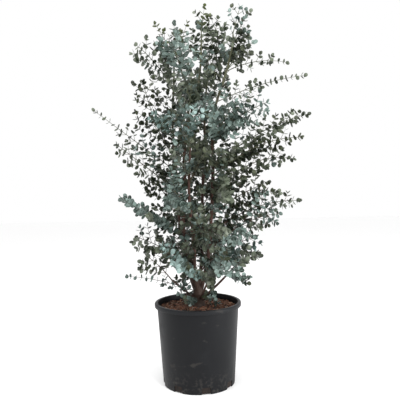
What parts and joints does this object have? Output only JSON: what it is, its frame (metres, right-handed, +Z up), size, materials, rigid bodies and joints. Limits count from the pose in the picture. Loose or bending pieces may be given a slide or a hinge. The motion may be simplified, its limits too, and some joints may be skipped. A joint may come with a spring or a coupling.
{
  "type": "potted cider gum",
  "caption": "Young gum tree of several stems with round blue-green leaves, growing in a round black nursery pot with a rolled lip and slots round its foot.",
  "frame": {"origin": "centre of the pot's flat underside", "axes": "+Z up along the stems; +X to the right of the picture; -Y towards its viewer"},
  "size_m": [1.046, 0.6835, 1.7369],
  "materials": {
    "pot_plastic": "near-black moulded plastic, satin, with faint scuffs",
    "bark_mix": "reddish-brown bark chips with a few pale chips and white grains",
    "bark": "smooth young bark, reddish brown, greener higher up",
    "leaf_skin": "waxy blue-green leaves, some darker, some yellow-green"
  },
  "bodies": {
    "root": {"back_leader": "bark", "back_spray_1": "leaf_skin", "back_spray_2": "leaf_skin", "back_spray_3": "leaf_skin", "back_spray_4": "leaf_skin", "back_spray_5": "leaf_skin", "back_spray_6": "leaf_skin", "back_spray_7": "leaf_skin", "front_leader": "bark", "front_right_spray_1": "leaf_skin", "front_right_spray_2": "leaf_skin", "front_spray_1": "leaf_skin", "front_spray_2": "leaf_skin", "front_spray_3": "leaf_skin", "front_spray_4": "leaf_skin", "front_spray_5": "leaf_skin", "front_spray_6": "leaf_skin", "front_spray_7": "leaf_skin", "left_leader": "bark", "left_spray_1": "leaf_skin", "left_spray_2": "leaf_skin", "left_spray_3": "leaf_skin", "left_spray_4": "leaf_skin", "left_spray_5": "leaf_skin", "left_spray_6": "leaf_skin", "left_spray_7": "leaf_skin", "left_spray_8": "leaf_skin", "low_bough_back": "bark", "low_bough_front": "bark", "low_bough_left": "bark", "low_bough_right": "bark", "low_shoot_left": "leaf_skin", "low_shoot_right": "leaf_skin", "low_spray_back": "leaf_skin", "low_spray_far_left": "leaf_skin", "low_spray_front": "leaf_skin", "low_spray_front_right": "leaf_skin", "low_spray_left": "leaf_skin", "low_spray_right": "leaf_skin", "pot": "pot_plastic", "potting_mix": "bark_mix", "right_leader": "bark", "right_spray_1": "leaf_skin", "right_spray_10": "leaf_skin", "right_spray_2": "leaf_skin", "right_spray_3": "leaf_skin", "right_spray_4": "leaf_skin", "right_spray_5": "leaf_skin", "right_spray_6": "leaf_skin", "right_spray_7": "leaf_skin", "right_spray_8": "leaf_skin", "right_spray_9": "leaf_skin", "top_spray_back": "leaf_skin", "top_spray_far_right": "leaf_skin", "top_spray_left": "leaf_skin", "top_spray_left_front": "leaf_skin", "top_spray_middle": "leaf_skin", "top_spray_right": "leaf_skin", "top_spray_right_front": "leaf_skin", "trunk": "bark"}
  },
  "joints": []
}
